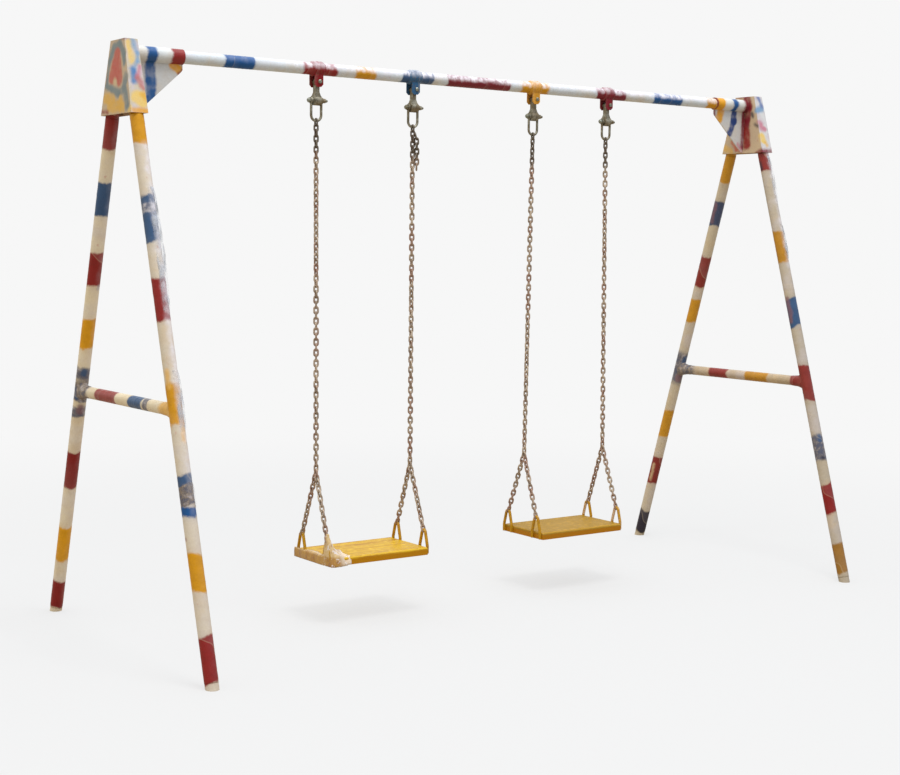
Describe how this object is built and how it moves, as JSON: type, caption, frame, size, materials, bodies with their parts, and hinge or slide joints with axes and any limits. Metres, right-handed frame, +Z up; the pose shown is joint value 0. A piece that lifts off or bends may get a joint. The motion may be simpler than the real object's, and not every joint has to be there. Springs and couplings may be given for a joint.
{
  "type": "swing set",
  "caption": "Free-standing swing set: two splayed A-frames carry a tubular top beam from which flat pan seats hang on chains with shackle pivots and two-leg bridles.",
  "frame": {"origin": "on the floor under the middle of the top beam", "axes": "+X along the top beam, +Z up, -Y towards the front"},
  "size_m": [3.454, 1.499, 2.346],
  "materials": {
    "frame_paint": "gloss cream paint with spray-painted red, blue and yellow bands",
    "strap_red": "gloss red paint",
    "strap_blue": "gloss blue paint",
    "strap_yellow": "gloss yellow paint",
    "hardware": "dull galvanised steel",
    "chain_steel": "weathered zinc with rust tints",
    "seat_paint_left": "gloss yellow paint",
    "seat_paint_right": "satin mustard paint",
    "loop_paint": "yellow paint on round bar"
  },
  "bodies": {
    "frame": {"head_left": "frame_paint", "beam_socket_left": "frame_paint", "gusset_left": "frame_paint", "crossbar_left": "frame_paint", "leg_left_front": "frame_paint", "leg_left_rear": "frame_paint", "head_right": "frame_paint", "beam_socket_right": "frame_paint", "gusset_right": "frame_paint", "crossbar_right": "frame_paint", "leg_right_front": "frame_paint", "leg_right_rear": "frame_paint", "top_beam": "frame_paint", "hanger_1_strap": "strap_red", "hanger_1_bolt": "hardware", "hanger_1_nut": "hardware", "hanger_1_link": "hardware", "hanger_2_strap": "strap_blue", "hanger_2_bolt": "hardware", "hanger_2_nut": "hardware", "hanger_2_link": "hardware", "hanger_3_strap": "strap_yellow", "hanger_3_bolt": "hardware", "hanger_3_nut": "hardware", "hanger_3_link": "hardware", "hanger_4_strap": "strap_red", "hanger_4_bolt": "hardware", "hanger_4_nut": "hardware", "hanger_4_link": "hardware"},
    "left_swing": {"hanger_1_shackle": "hardware", "hanger_1_pin": "hardware", "hanger_1_pin_nut": "hardware", "hanger_2_shackle": "hardware", "hanger_2_pin": "hardware", "hanger_2_pin_nut": "hardware", "chain_1": "chain_steel", "chain_2": "chain_steel", "chain_2_tail": "chain_steel"},
    "left_seat": {"seat_left": "seat_paint_left", "bridle_1": "chain_steel", "bridle_2": "chain_steel", "seat_left_loop_left_front": "loop_paint", "seat_left_loop_left_rear": "loop_paint", "seat_left_loop_right_front": "loop_paint", "seat_left_loop_right_rear": "loop_paint"},
    "right_swing": {"hanger_3_shackle": "hardware", "hanger_3_pin": "hardware", "hanger_3_pin_nut": "hardware", "hanger_4_shackle": "hardware", "hanger_4_pin": "hardware", "hanger_4_pin_nut": "hardware", "chain_3": "chain_steel", "chain_4": "chain_steel"},
    "right_seat": {"seat_right": "seat_paint_right", "bridle_3": "chain_steel", "bridle_4": "chain_steel", "seat_right_loop_left_front": "loop_paint", "seat_right_loop_left_rear": "loop_paint", "seat_right_loop_right_front": "loop_paint", "seat_right_loop_right_rear": "loop_paint"}
  },
  "joints": [
    {"name": "left_swing_hinge", "type": "hinge", "parent": "frame", "child": "left_swing", "pos_m": [-0.6005, 0, 2.172], "axis": [1, 0, 0], "range_deg": [-60, 60]},
    {"name": "left_seat_hinge", "type": "hinge", "parent": "left_swing", "child": "left_seat", "pos_m": [-0.592, 0, 0.621], "axis": [1, 0, 0], "range_deg": [-40, 40]},
    {"name": "right_swing_hinge", "type": "hinge", "parent": "frame", "child": "right_swing", "pos_m": [0.5225, 0, 2.172], "axis": [1, 0, 0], "range_deg": [-60, 60]},
    {"name": "right_seat_hinge", "type": "hinge", "parent": "right_swing", "child": "right_seat", "pos_m": [0.5265, 0, 0.621], "axis": [1, 0, 0], "range_deg": [-40, 40]}
  ]
}
